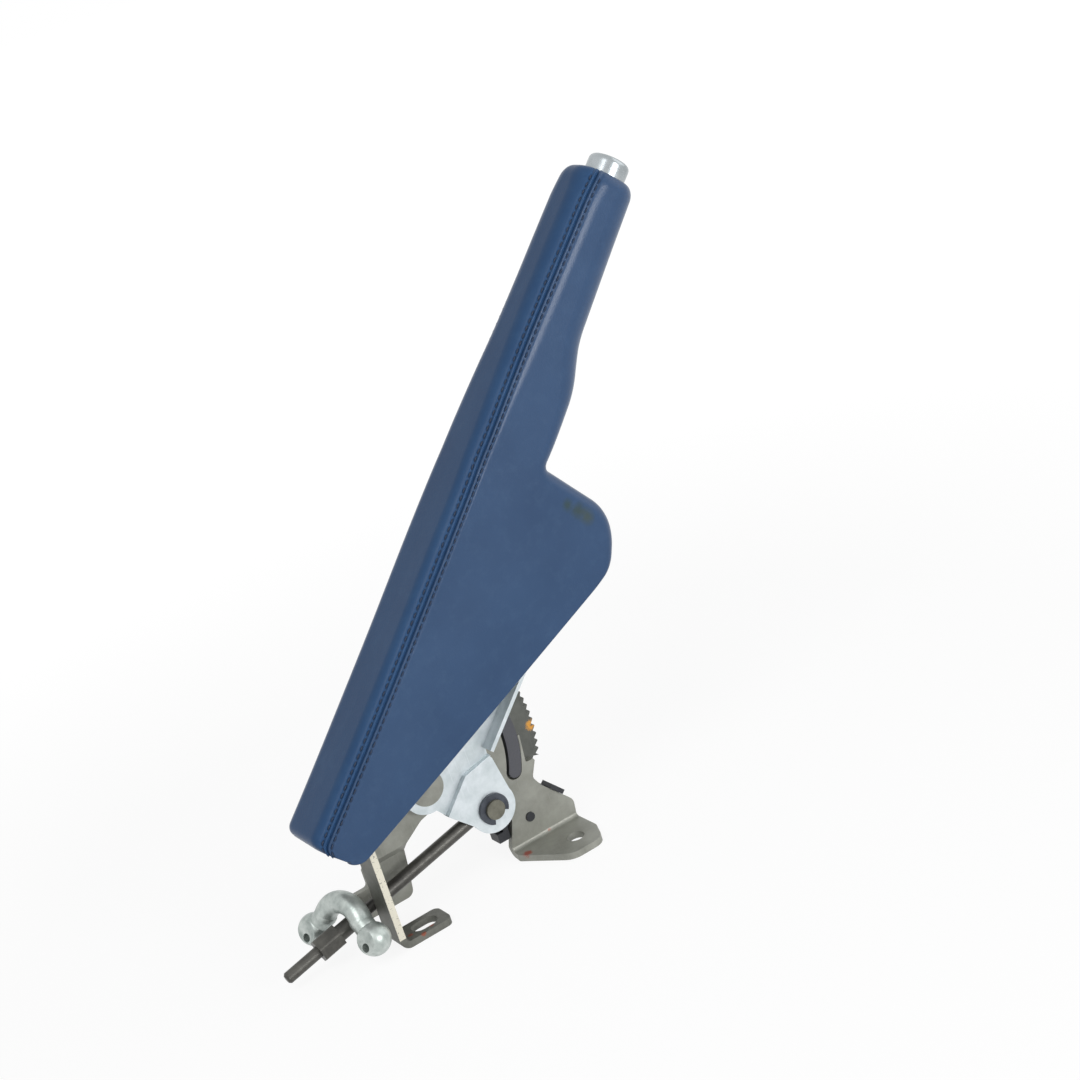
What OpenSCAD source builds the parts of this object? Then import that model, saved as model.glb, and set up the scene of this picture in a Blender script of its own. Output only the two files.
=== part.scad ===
// Parking brake lever: leather handle, pressed lever arm, toothed sector, floor bracket,
// pull rod with adjuster nut and cable equaliser, drawn with the lever pulled up.
// Origin: centre of the front bolt hole on the underside of the foot, +X forward, +Z up.

/* [Floor bracket] */
// Thickness of the bracket sheet
plate_t = 3.5; // [2.5:0.1:4.5]
// Height of the lever pivot above the underside of the feet
pivot_h = 61.5; // [56:0.5:75]
// Forward distance from the pivot to the front bolt hole
front_hole_x = 62.5; // [60:0.5:64]
// Sideways distance from the handle's middle plane to the front bolt hole
front_hole_y = 9.5; // [7:0.5:11]
// Diameter of the front bolt hole
bolt_d = 9; // [6:0.1:11]
// Rearward distance from the pivot to the middle of the rear slot
rear_slot_x = 27.8; // [26:0.2:29]
// Overall length of the rear slot
rear_slot_l = 14; // [11:0.5:16]
// Width of the strap that carries the rear foot
strap_w = 16; // [14:0.5:16]
// Rearward distance from the pivot to the front face of the strap
strap_x = 41.8; // [40:0.2:44]
// Inner radius of the bends
bend_r = 2; // [1:0.25:3]
// Sideways joggle of the guide rail behind the plate
rail_joggle = 5.5; // [4:0.25:7]

/* [Ratchet] */
// Radius at the tips of the sector's teeth
sector_r = 69.7; // [69:0.1:71]
// Thickness of the toothed sector
sector_t = 3.5; // [2.5:0.1:3.5]
// Angle from one tooth to the next
tooth_pitch = 3.3; // [2.5:0.1:5]
// Depth of a tooth
tooth_depth = 2.6; // [1.5:0.1:3.5]
// Mean radius of the arc slot
slot_r = 53.2; // [52:0.1:54]
// Width of the arc slot
slot_w = 8.8; // [8:0.1:9.5]
// Width of the guide strip that lies in the arc slot
strip_w = 7; // [5:0.1:7.2]

/* [Lever arm] */
// Angle of the lever above the floor
lever_angle = 44.5; // [42:0.5:46]
// Thickness of the arm sheet
arm_t = 2; // [1.5:0.1:2.4]
// Diameter of the lever pivot
pivot_d = 18; // [14:0.5:19]
// Distance of the rod pin below the pivot
rod_pin_drop = 38; // [36:0.5:39]
// Diameter of the rod pin
rod_pin_d = 10; // [8:0.25:11]
// Height of the pressed step that lifts the lug from the arm
lug_step = 3; // [2:0.25:3]
// Width of the arm's flanges
flange_w = 8; // [5:0.5:10]

/* [Handle] */
// Distance from the pivot to the leather's front end
handle_u = 303; // [298:1:320]
// Half the width of the skirt
skirt_w = 19.5; // [19.3:0.1:22]
// Half the width of the grip at its front end
grip_w = 17.3; // [17:0.1:19]
// Height of the handle's top above the lever line through the pivot
handle_top = 56.5; // [56:0.1:60]
// Thickness of the leather
leather_t = 1; // [0.8:0.1:1.2]
// Wall of the moulded core under the leather
core_t = 1.4; // [1.2:0.1:1.5]

/* [Button] */
// Diameter of the push button
button_d = 20.5; // [19:0.5:21]
// Length of the button that stands out of the grip
button_out = 9.5; // [8:0.5:15]
// Travel of the button
button_travel = 6; // [3:0.5:6]
// Diameter of the push rod
push_rod_d = 5; // [4:0.1:5.5]

/* [Pull rod] */
// Diameter of the pull rod
rod_d = 7; // [6:0.1:7]
// Diameter of the threaded end
thread_d = 6; // [5:0.1:6]
// Length of the rod from the pin to its end
rod_l = 129; // [125:1:150]
// Slope of the rod down to the rear
rod_slope = 12.6; // [11:0.1:14]
// Width across the flats of the adjuster nut
nut_af = 11; // [10.6:0.1:12]
// Length of the hexagon of the adjuster nut
nut_hex_l = 12.5; // [8:0.5:12.5]
// Diameter of the equaliser bar
saddle_d = 11.2; // [9:0.1:11.6]
// Distance between the two cable bores
cable_span = 40; // [38:1:46]
// Diameter of the cable bores
cable_d = 4.5; // [3.5:0.1:4.8]

/* [Hidden] */

$fn = 64;
run_gap = 0.05;
clear = 0.3;
eps = 0.01;

// Sheets lie in layers across the part, from the viewer's side (-Y) to the far side (+Y)
web_y = 1;
lug_y = web_y - lug_step;
plate_y = 8.5;
sector_y = plate_y + plate_t;
rail_y = plate_y + rail_joggle;
foot_top = plate_t - pivot_h;
bend_z = foot_top + bend_r;
strap_bend_x = bend_r - strap_x;
strap_far_y = -0.5;
wall_low = -15;
wall_high = 4;
foot_rear_x = front_hole_x - 27;
foot_front_x = front_hole_x + 12.8;
foot_near_y = -front_hole_y - 13.5;
rear_foot_x = -16;
rail_x = [-55, -16.5];
rail_z = [-54, -38.5];
joggle_z = [-29.5, -24.5];
rod_y = 3.75;

// Arc slot of the bracket, teeth and rivets of the sector
slot_low = -20.7;
slot_high = 34;
end_relief = 0.1;
strip_gap = 0.15;
slot_in_r = slot_r - slot_w / 2;
slot_out_r = slot_r + slot_w / 2;
tooth_low = -16;
tooth_high = 45.5;
tooth_land = 0.5;
rivet_d = 5;
rivet_head_d = rivet_d + 3;
rivet_r = slot_in_r - rivet_head_d / 2 - 1.8;
sector_in_r = rivet_r - 6;
rivet_angles = [10, 25, 40];
tenon_d = pivot_d - 4;

// Lever pins, in lever coordinates: along the lever, then across it
rod_pin_at = [2.2, -rod_pin_drop];
pawl_pin_at = [82, 22];
pawl_pin_d = 8;
push_axis = 39.5;
push_rod_y = -2.5;
finger_u = 90;
seat_u = handle_u - 45;
seat_t = 2;
arm_end_u = seat_u + seat_t;
spacer_u = [handle_u - 113, handle_u - 60];
spacer_l = 14;
arm_low = -22.5;
grip_low = 28;
arm_high = 50;
flange_y = web_y - flange_w;
head_t = 1.1;

// Rod pin groove and clip
clip_t = 1.6;
groove_d = rod_pin_d - 1.6;
clip_od = rod_pin_d + 6;
clip_open_angle = -66;
clip_open_half = 38;
eye_d = rod_pin_d + 7;
eye_w = 6.8;

// Nut and equaliser along the rod, measured from the rod pin
thread_start = rod_l - 63;
nut_end = rod_l - 20;
nut_hex_start = nut_end - nut_hex_l;
neck_start = rod_l - 49;
neck_r = thread_d / 2 + 1.1;
saddle_at = rod_l - 36;
saddle_r = saddle_d / 2;
saddle_bend_r = 13.2;
saddle_half = 66;
saddle_play = 1.65;
saddle_yaw = 20;
saddle_lean = 20;
ball_r = 8.25;
ball_flat = 6;
ball_drop = 2;
cable_drop = 3;
saddle_seat_h = (neck_r + saddle_play + saddle_r) / cos(rod_slope);
saddle_rise = saddle_seat_h + saddle_bend_r * (sin(saddle_lean) * tan(rod_slope) - cos(saddle_lean));
ball_at = [cable_span / 2, -ball_drop - saddle_rise];
elbow_at = saddle_bend_r * [sin(saddle_half), cos(saddle_half)];
elbow_r = saddle_r + 0.15;
leg_r = saddle_r - 0.1;
leg_l = norm(ball_at - elbow_at);
leg_angle = atan2(ball_at.x - elbow_at.x, elbow_at.y - ball_at.y);

// Button and its guide along the handle
tip_round = 7;
tip_shrink = 4.5;
collar_start = handle_u - 27;
collar_end = handle_u - 6;
collar_step = handle_u - 14;
collar_od = button_d + 8.2;
button_flange_d = button_d + 2.6;
button_start = collar_step - 3.2;
button_end = handle_u + button_out;
button_fit = 0.2;
boss_d = 9;
spring_wire = 1.2;
spring_d = 9;
spring_turns = 6;

// Outline of the handle in lever coordinates: hem, lobe, notch and underside, with corner radii
handle_rear = -44;
hem_end = 136;
underside = [
    [handle_rear, 26.5, 0], [56, -12.5, 160], [133, -38.5, 20], [157.5, -31, 14], [166, 15, 6],
    [handle_u - 100, 12.5, 50], [handle_u - 77, 19, 50], [handle_u + 1, 23, 0]
];
underside_path = rounded_path(underside, 8);
skirt_corner = 9;
grip_corner = 15.5;

// Switch on the far side of the front leg
leg_top = [61.5, -33];
switch_x = [38, 71];
switch_z = [-54, -36];
switch_w = 10;
peg_at = [50.2, -45.3];
peg_d = 5;
plunger_at = [49.8, sector_y + sector_t + 2.4];
plunger_d = 4;
plunger_top = -26;

function unit(v) = v / norm(v);
function arc(c, r, a0, a1, n) = [for (k = [0 : n]) c + r * [cos(a0 + (a1 - a0) * k / n), sin(a0 + (a1 - a0) * k / n)]];
function turn(a0, a1) = (a1 - a0 + 900) % 360 - 180;

// One corner of an outline, rounded to the radius held in its third number
function corner(a, p, b, n) =
    let (here = [p.x, p.y])
    p[2] == 0 ? [here] :
    let (
        to_a = unit([a.x, a.y] - here),
        to_b = unit([b.x, b.y] - here),
        half = acos(to_a * to_b) / 2,
        centre = here + unit(to_a + to_b) * p[2] / sin(half),
        start = here + to_a * p[2] / tan(half) - centre,
        end = here + to_b * p[2] / tan(half) - centre,
        a0 = atan2(start.y, start.x)
    )
    arc(centre, p[2], a0, a0 + turn(a0, atan2(end.y, end.x)), n);
function rounded(pts, n = 6) = let (m = len(pts))
    [for (i = [0 : m - 1]) each corner(pts[(i + m - 1) % m], pts[i], pts[(i + 1) % m], n)];
function rounded_path(pts, n = 6) = let (m = len(pts))
    [for (i = [0 : m - 1]) each (i == 0 || i == m - 1 ? [[pts[i].x, pts[i].y]] : corner(pts[i - 1], pts[i], pts[i + 1], n))];

// Smooth step from 0 at a to 1 at b
function ease(x, a, b) = let (t = min(1, max(0, (x - a) / (b - a)))) t * t * (3 - 2 * t);

// Cross-section of the handle at distance u: v runs from the top middle (0) down to the bottom middle (2)
function handle_low(u) = lookup(u, underside_path);
function handle_w(u) = skirt_w + (grip_w - skirt_w) * ease(u, 120, handle_u - 53);
function top_corner(u) = skirt_corner + (grip_corner - skirt_corner) * ease(u, 120, handle_u - 43);
function low_corner(u) = 0.6 + 9.4 * ease(u, hem_end - 2, 154) + (grip_corner - 10) * ease(u, 158, handle_u - 63);
function tip_inset(u) = let (t = max(0, (u - handle_u + tip_round) / tip_round)) tip_shrink * (1 - sqrt(1 - t * t * 0.98));
function half_section(u, v, inset) =
    let (
        shrink = inset + tip_inset(u),
        w = handle_w(u) - shrink,
        top = handle_top - shrink,
        low = handle_low(u) + (u < hem_end ? 0 : shrink),
        rt = top_corner(u) - shrink,
        rb = u < hem_end ? 0 : max(0.2, low_corner(u) - shrink)
    )
    v <= 0.5 ? [(w - rt) * v * 2, top] :
    v <= 1 ? [w - rt + rt * sin(180 * (v - 0.5)), top - rt + rt * cos(180 * (v - 0.5))] :
    v <= 1.5 ? [w, top - rt + (low + rb - top + rt) * (v - 1) * 2] :
    v <= 1.75 ? [w - rb + rb * cos(360 * (v - 1.5)), low + rb - rb * sin(360 * (v - 1.5))] :
    [(w - rb) * (2 - v) * 4, low];
function section(u, v, inset) = let (p = half_section(u, abs(v), inset)) [u, v < 0 ? -p.x : p.x, p.y];

// Stations along the handle and the spread of points round its section
stations_rear = [handle_rear, -20, 10, 40, 56, 72, 96, 110, 118, 124, 130, hem_end - run_gap];
stations_lobe = [hem_end, 141, 146, 150, 153, 156, 158, 160, 162, 164, 166, 168];
grip_rear = 174;
grip_front = handle_u - 20;
grip_steps = 8;
stations_grip = [for (k = [0 : grip_steps]) grip_rear + (grip_front - grip_rear) * k / grip_steps];
stations_tip = [handle_u - tip_round, handle_u - 4, handle_u - 2, handle_u - 0.8, handle_u];
top_spread = [-0.75, -0.65, -0.55, -0.25, 0.25, 0.55, 0.65, 0.75];
side_spread = [0.75, 0.82, 0.9, 1, 1.25, 1.5];
low_spread = [1.5, 1.56, 1.62, 1.68, 1.75, 2, 2.25, 2.32, 2.38, 2.44, 2.5];
function fold(v) = v > 2 ? v - 4 : v;
function mirrored(vs) = [for (i = [len(vs) - 1 : -1 : 0]) -vs[i]];
function inside(vs) = [for (i = [1 : len(vs) - 2]) vs[i]];
over_top = concat(mirrored(side_spread), inside(top_spread), side_spread);
liner_out = leather_t + run_gap;
liner_in = liner_out + core_t;

// A sheet of even thickness between two insets of the handle's surface
module handle_sheet(us, vs, outer, inner) {
    nu = len(us);
    nv = len(vs);
    points = [for (inset = [outer, inner]) for (u = us) for (v = vs) section(u, fold(v), inset)];
    function at(side, i, j) = side * nu * nv + i * nv + j;
    faces = [
        for (i = [0 : nu - 2]) for (j = [0 : nv - 2]) each [
            [at(0, i, j), at(0, i + 1, j), at(0, i + 1, j + 1), at(0, i, j + 1)],
            [at(1, i, j), at(1, i, j + 1), at(1, i + 1, j + 1), at(1, i + 1, j)]
        ],
        for (i = [0 : nu - 2]) each [
            [at(0, i, 0), at(1, i, 0), at(1, i + 1, 0), at(0, i + 1, 0)],
            [at(0, i, nv - 1), at(0, i + 1, nv - 1), at(1, i + 1, nv - 1), at(1, i, nv - 1)]
        ],
        for (j = [0 : nv - 2]) each [
            [at(0, 0, j), at(0, 0, j + 1), at(1, 0, j + 1), at(1, 0, j)],
            [at(0, nu - 1, j), at(1, nu - 1, j), at(1, nu - 1, j + 1), at(0, nu - 1, j + 1)]
        ]
    ];
    polyhedron(points, faces);
}

module at_pivot() { translate([-front_hole_x, front_hole_y, pivot_h]) children(); }
module in_lever() { at_pivot() rotate([0, -lever_angle, 0]) children(); }
module at_rod_pin() { in_lever() translate([rod_pin_at.x, 0, rod_pin_at.y]) children(); }
module on_rod() { at_rod_pin() rotate([0, lever_angle - rod_slope - 90, 0]) translate([0, rod_y, 0]) children(); }

// Outline in X and Z, given thickness t from y towards the far side
module sheet(y, t) { translate([0, y + t, 0]) rotate([90, 0, 0]) linear_extrude(t) children(); }
// Cylinder along Y from y0 to y1 at a point in X and Z
module cross_pin(p, d, y0, y1) { translate([p.x, y1, p.y]) rotate([90, 0, 0]) cylinder(d = d, h = y1 - y0); }
// Cylinder along the lever from u0 to u1 on the push rod's height
module along(y, d, u0, u1) { translate([u0, y, push_axis]) rotate([0, 90, 0]) cylinder(d = d, h = u1 - u0); }
// Quarter bend of the bracket sheet
module bend(l) { rotate_extrude(angle = 90) translate([bend_r, 0]) square([plate_t, l]); }
module wedge(r, a0, a1) { polygon(concat([[0, 0]], arc([0, 0], r, a0, a1, 8))); }
// Strip of width w on the left of the line from p to q
module edge_strip(p, q, w) { translate(p) rotate(atan2(q.y - p.y, q.x - p.x)) square([norm(q - p), w]); }

module arc_slot() {
    intersection() {
        difference() {
            circle(r = slot_out_r);
            circle(r = slot_in_r);
        }
        wedge(sector_r + 30, slot_low, slot_high);
    }
    for (a = [slot_low, slot_high]) rotate(a) translate([slot_r, 0]) circle(d = slot_w + end_relief);
}

module rivet_holes() { for (a = rivet_angles) rotate(a) translate([rivet_r, 0]) circle(d = rivet_d); }

// Flat part of the bracket: arch with a front leg, a horn beside the arc slot and a rear leg
module bracket_outline() {
    horn_x = slot_out_r + 0.9;
    difference() {
        polygon(rounded([
            [foot_rear_x, bend_z, 0], [foot_front_x, bend_z, 0], [foot_front_x + 0.7, -49, 5],
            [leg_top.x, leg_top.y, 8], [58.3, -27, 3],
            [63, -17.7, 1.2], [57.3, -17.7, 0.8], [horn_x, -2.4, 0.3], [slot_r, -2.4, 0],
            [slot_r * cos(22), slot_r * sin(22), 0], [slot_r * cos(46), slot_r * sin(46), 0],
            [slot_r * cos(68), slot_r * sin(68), 0], [8, 46.5, 5], [-16, 38, 14],
            [strap_bend_x, 8, 8], [strap_bend_x, joggle_z[1], 0], [rail_x[1], joggle_z[1], 0],
            [rail_x[1] + 11, joggle_z[1] + 7, 8], [6, joggle_z[1] + 10, 10], [24, -22, 10], [40.8, -41, 4], [37.6, -50, 3]
        ]));
        arc_slot();
        circle(d = tenon_d);
        translate(peg_at) circle(d = peg_d);
        rivet_holes();
    }
}

module front_foot_outline() {
    difference() {
        polygon(rounded([
            [foot_rear_x, plate_y - bend_r, 0], [foot_rear_x - 0.5, 3, 3], [front_hole_x - 11, foot_near_y, 9],
            [front_hole_x + 7.5, foot_near_y, 7], [foot_front_x, -front_hole_y, 6], [foot_front_x, plate_y - bend_r, 0]
        ]));
        translate([front_hole_x, -front_hole_y]) circle(d = bolt_d);
    }
}

module rear_foot_outline() {
    slot_y = strap_far_y - strap_w / 2;
    slot_half = (rear_slot_l - bolt_d) / 2;
    difference() {
        polygon(rounded([
            [strap_bend_x, strap_far_y, 0], [strap_bend_x, strap_far_y - strap_w, 0],
            [rear_foot_x, strap_far_y - strap_w, 3.5], [rear_foot_x, strap_far_y, 3.5]
        ]));
        translate([-rear_slot_x, slot_y]) {
            for (s = [-1, 1]) translate([s * slot_half, 0]) circle(d = bolt_d);
            square([2 * slot_half, bolt_d], center = true);
        }
    }
}

// Cross wall at the rear: full width at the top, notched below so that the rod passes beside the strap
module strap_outline() {
    near = strap_far_y - strap_w;
    polygon(rounded([
        [near, bend_z, 0], [strap_far_y, bend_z, 0], [strap_far_y, wall_low, 3],
        [plate_y - bend_r, wall_low, 0], [plate_y - bend_r, wall_high, 0], [near, wall_high - 4, 5]
    ]));
}

module rail_outline() {
    polygon(rounded([
        [rail_x[1], joggle_z[0], 0], [rail_x[1] - 1, joggle_z[0] - 10, 6], [rail_x[1] - 3, rail_z[0], 4],
        [rail_x[0], rail_z[0], 3], [rail_x[0], rail_z[1], 3], [strap_bend_x, rail_z[1], 2],
        [strap_bend_x, joggle_z[0], 0]
    ]));
}

module base_bracket() {
    color("#8a8a80") at_pivot() {
        sheet(plate_y, plate_t) bracket_outline();
        translate([foot_rear_x, plate_y - bend_r, bend_z]) rotate([0, 90, 0]) bend(foot_front_x - foot_rear_x);
        translate([0, 0, foot_top - plate_t]) linear_extrude(plate_t) front_foot_outline();
        translate([strap_bend_x, 0, 0]) rotate([90, 0, 90]) linear_extrude(rail_x[1] - strap_bend_x) polygon([
            [plate_y, joggle_z[1]], [plate_y + plate_t, joggle_z[1]],
            [rail_y + plate_t, joggle_z[0]], [rail_y, joggle_z[0]]
        ]);
        sheet(rail_y, plate_t) rail_outline();
    }
}

// Cross wall, strap and rear foot in one bent strip, butt-welded along the plate's rear edge
module rear_strap() {
    color("#8a8a80") at_pivot() {
        translate([strap_bend_x, plate_y - bend_r, wall_low]) rotate([0, 0, 90]) bend(wall_high - wall_low);
        translate([-strap_x - plate_t, 0, 0]) rotate([90, 0, 90]) linear_extrude(plate_t) strap_outline();
        translate([strap_bend_x, strap_far_y, bend_z]) rotate([90, 0, 0]) rotate(180) bend(strap_w);
        translate([0, 0, foot_top - plate_t]) linear_extrude(plate_t) rear_foot_outline();
    }
}

// Saw teeth: a steep upper face and a ramp up to a narrow land
module ratchet_teeth() {
    root_r = sector_r - tooth_depth;
    out_r = sector_r + 1;
    ramp = tooth_pitch - tooth_land;
    for (a = [tooth_low : tooth_pitch : tooth_high - tooth_pitch]) rotate(a) polygon([
        [root_r, 0], [out_r, 0], out_r * [cos(ramp), sin(ramp)], sector_r * [cos(ramp), sin(ramp)]
    ]);
}

module ratchet_sector() {
    rim = sector_r + 30;
    foot = [[0, 0, 0], [33, -25, 3], [48, -30, 4], [57, -27, 3], [62.5, -20, 1], [64, 64 * tan(tooth_low), 0]];
    color("#5a5c58") at_pivot() sheet(sector_y, sector_t) difference() {
        intersection() {
            circle(r = sector_r);
            polygon(concat(rounded_path(foot), arc([0, 0], rim, tooth_low, tooth_high, 8)));
        }
        circle(r = sector_in_r);
        ratchet_teeth();
        rivet_holes();
    }
}

// Moulded strip bonded to the sector inside the bracket's arc slot, which keeps the arm from leaning on the plate
module guide_strip() {
    strip_out_r = slot_out_r - strip_gap;
    strip_in_r = strip_out_r - strip_w;
    color("#43454b") at_pivot() sheet(plate_y + strip_gap, plate_t - strip_gap) {
        intersection() {
            difference() {
                circle(r = strip_out_r);
                circle(r = strip_in_r);
            }
            wedge(sector_r + 30, slot_low, slot_high);
        }
        rotate(slot_low) translate([(strip_in_r + strip_out_r) / 2, 0]) circle(d = strip_w + end_relief);
    }
}

module sector_rivets() {
    head_h = 1.4;
    color("#6d6e68") at_pivot() for (a = rivet_angles) {
        p = rivet_r * [cos(a), sin(a)];
        cross_pin(p, rivet_d, plate_y - eps, sector_y + sector_t + eps);
        cross_pin(p, rivet_head_d, plate_y - head_h, plate_y);
        cross_pin(p, rivet_head_d, sector_y + sector_t, sector_y + sector_t + head_t);
    }
}

// Stepped pivot: tenon peened in the bracket, shoulder between the sheets, journal for the arm
module main_pivot() {
    color("#6f7166") at_pivot() {
        cross_pin([0, 0], pivot_d, web_y - 0.4, web_y + arm_t + clear);
        cross_pin([0, 0], pivot_d + 7, web_y + arm_t + clear, plate_y);
        cross_pin([0, 0], tenon_d, plate_y - eps, sector_y + eps);
        cross_pin([0, 0], tenon_d + 6, sector_y, sector_y + 2);
    }
}

// Moulded switch: hook over the leg's sloping edge, peg in the leg's hole, lug past the leg's rear edge
module switch_body() {
    hook = [[leg_top.x + 3.6, leg_top.y - 3.75], [leg_top.x + 9.1, leg_top.y - 9.85]];
    lug_x = [30.6, 34.4];
    lug_z = [-51, -46, -40.6];
    leg_edge_x = 37.2;
    color("#22252a") at_pivot() {
        difference() {
            union() {
                sheet(sector_y, switch_w) polygon(rounded([
                    [switch_x[0], switch_z[0], 2], [switch_x[1], switch_z[0], 2], [switch_x[1], leg_top.y - 10.1, 0],
                    [leg_top.x + 3.1, switch_z[1], 0], [switch_x[0] + 3, switch_z[1], 2]
                ]));
                translate([plunger_at.x, plunger_at.y, switch_z[1] - eps]) cylinder(d = plunger_d + 3, h = 4);
                sheet(plate_y - 1.2, plate_t + 6) edge_strip(hook[0], hook[1], 2.4);
                translate([lug_x[0], sector_y, lug_z[0]]) cube([switch_x[0] + 2 - lug_x[0], 6, lug_z[2] - lug_z[0]]);
                translate([lug_x[0], plate_y + 1, lug_z[0]]) cube([leg_edge_x - lug_x[0], plate_t, lug_z[1] - lug_z[0]]);
                translate([lug_x[1], plate_y + 1, lug_z[1] - eps])
                    cube([leg_edge_x - lug_x[1], plate_t, lug_z[2] - lug_z[1]]);
            }
            translate([plunger_at.x, plunger_at.y, switch_z[1] - 8]) cylinder(d = plunger_d + 2 * run_gap, h = 20);
        }
        cross_pin(peg_at, peg_d - 2 * run_gap, plate_y - 0.8, sector_y + eps);
    }
}

module switch_terminals() {
    color("#b08d57") at_pivot() for (x = [44, 56])
        translate([x - 2.4, sector_y + switch_w, -47]) cube([4.8, 8, 0.8]);
}

module switch_plunger() {
    color("#d8d4c8") at_pivot() translate([plunger_at.x, plunger_at.y, switch_z[1] - 4]) {
        cylinder(d = plunger_d, h = plunger_top - switch_z[1] + 4 - 1);
        translate([0, 0, plunger_top - switch_z[1] + 3 - eps]) cylinder(d1 = plunger_d, d2 = plunger_d - 2, h = 1);
    }
}

// Web of the arm with its pivot lobe, window for the push rod's finger and holes for the pins
module arm_web() {
    difference() {
        union() {
            circle(d = pivot_d + 8.4);
            polygon(rounded([
                [-9.3, -17.5, 0], [12, -17.5, 0], [25, -25.5, 0], [28, arm_low, 0], [96, arm_low, 8],
                [148, grip_low, 10], [arm_end_u, grip_low, 3], [arm_end_u, arm_high, 3], [66, arm_high, 12], [-6, 10, 0]
            ]));
        }
        circle(d = pivot_d + 2 * run_gap);
        translate(pawl_pin_at) circle(d = pawl_pin_d - 2);
        translate([finger_u - button_travel / 2, push_axis])
            square([button_travel + push_rod_d + 2 * clear, push_rod_d + 2 * clear], center = true);
        for (u = [112, 140]) translate([u, 30]) circle(d = 12);
    }
}

module arm_lug() {
    difference() {
        union() {
            translate(rod_pin_at) circle(d = 25.4);
            polygon(rounded([[-9.3, -38, 0], [-9.3, -16, 0], [12, -16, 0], [26, -24.6, 2], [13, -44, 0], [2, -46, 0]]));
        }
        translate(rod_pin_at) circle(d = rod_pin_d);
    }
}

module lever_arm() {
    color("#c9d3d3") in_lever() {
        sheet(web_y, arm_t) arm_web();
        sheet(lug_y, arm_t) arm_lug();
        sheet(lug_y, lug_step + arm_t) polygon([[-9.3, -17.8], [11, -17.8], [23.8, -25.6], [26, -24.6], [12, -16], [-9.3, -16]]);
        sheet(flange_y, flange_w) edge_strip([28, arm_low], [92, arm_low], arm_t);
        sheet(flange_y, flange_w) edge_strip([100.5, -17.9], [144.5, 24.8], arm_t);
        sheet(flange_y, flange_w) edge_strip([154, grip_low], [arm_end_u, grip_low], arm_t);
        sheet(flange_y, flange_w) edge_strip([arm_end_u, arm_high], [74, arm_high], arm_t);
    }
}

module pawl_pin() {
    far = sector_y + sector_t + 0.2;
    color("#9aa09d") in_lever() {
        cross_pin(pawl_pin_at, pawl_pin_d - 2, web_y - 0.6, web_y + arm_t);
        cross_pin(pawl_pin_at, pawl_pin_d + 4, web_y + arm_t, sector_y - 0.2);
        cross_pin(pawl_pin_at, pawl_pin_d, sector_y - 0.2 - eps, far + eps);
        cross_pin(pawl_pin_at, pawl_pin_d + 3, far, far + head_t);
    }
}

module rod_pin() {
    near = lug_y - clip_t - 1.6;
    far = rod_y + eye_w / 2 + 0.15;
    color("#77786c") at_rod_pin() difference() {
        union() {
            cross_pin([0, 0], rod_pin_d, near, far + eps);
            cross_pin([0, 0], rod_pin_d + 3.5, far, far + 0.9);
        }
        translate([0, lug_y - run_gap, 0]) rotate([90, 0, 0]) difference() {
            cylinder(d = rod_pin_d + 2, h = clip_t + 0.1);
            translate([0, 0, -1]) cylinder(d = groove_d, h = clip_t + 3);
        }
    }
}

// Open spring clip seated in the pin's groove
module rod_pin_clip() {
    color("#3a3f45") at_rod_pin() rotate([0, lever_angle, 0]) sheet(lug_y - run_gap - clip_t, clip_t) difference() {
        circle(d = clip_od);
        circle(d = groove_d + 2 * run_gap);
        rotate(clip_open_angle) wedge(clip_od, -clip_open_half, clip_open_half);
    }
}

// Stiff liner under the leather of the skirt
module skirt_liner() {
    color("#3c3f44") in_lever()
        handle_sheet([for (u = stations_rear) max(u, handle_rear + 1.5)], over_top, liner_out, liner_in);
}

module grip_core() {
    color("#34373b") in_lever()
        handle_ring(concat(stations_lobe, stations_grip), concat(over_top, inside(low_spread)), liner_out, liner_in);
}

// Closed tube between two insets of the handle's surface
module handle_ring(us, vs, outer, inner) {
    nu = len(us);
    nv = len(vs);
    points = [for (inset = [outer, inner]) for (u = us) for (v = vs) section(u, fold(v), inset)];
    function at(side, i, j) = side * nu * nv + i * nv + j % nv;
    faces = [
        for (i = [0 : nu - 2]) for (j = [0 : nv - 1]) each [
            [at(0, i, j), at(0, i + 1, j), at(0, i + 1, j + 1), at(0, i, j + 1)],
            [at(1, i, j), at(1, i, j + 1), at(1, i + 1, j + 1), at(1, i + 1, j)]
        ],
        for (j = [0 : nv - 1]) each [
            [at(0, 0, j), at(0, 0, j + 1), at(1, 0, j + 1), at(1, 0, j)],
            [at(0, nu - 1, j), at(1, nu - 1, j), at(1, nu - 1, j + 1), at(0, nu - 1, j + 1)]
        ]
    ];
    polyhedron(points, faces);
}

// Moulded spacers that carry the core on the arm inside the grip
module grip_spacers() {
    color("#2d2f33") in_lever() for (u = spacer_u) difference() {
        translate([u - spacer_l / 2, 0, handle_top - grip_w]) rotate([0, 90, 0])
            cylinder(r = grip_w - leather_t - core_t - 0.6, h = spacer_l);
        translate([u - spacer_l, flange_y - run_gap, grip_low - run_gap])
            cube([2 * spacer_l, flange_w + arm_t + 2 * run_gap, arm_high - grip_low + 2 * run_gap]);
    }
}

module leather_top() {
    color("#34527d") in_lever()
        handle_sheet(concat(stations_rear, stations_lobe, stations_grip, stations_tip), top_spread, 0, leather_t);
}

module leather_side_near() {
    color("#34527d") in_lever()
        handle_sheet(concat(stations_rear, stations_lobe, stations_grip, stations_tip), mirrored(side_spread), 0, leather_t);
}

module leather_side_far() {
    color("#34527d") in_lever()
        handle_sheet(concat(stations_rear, stations_lobe, stations_grip, stations_tip), side_spread, 0, leather_t);
}

module leather_underside() {
    color("#2f4a72") in_lever()
        handle_sheet(concat(stations_lobe, stations_grip, stations_tip), low_spread, 0, leather_t);
}

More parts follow.
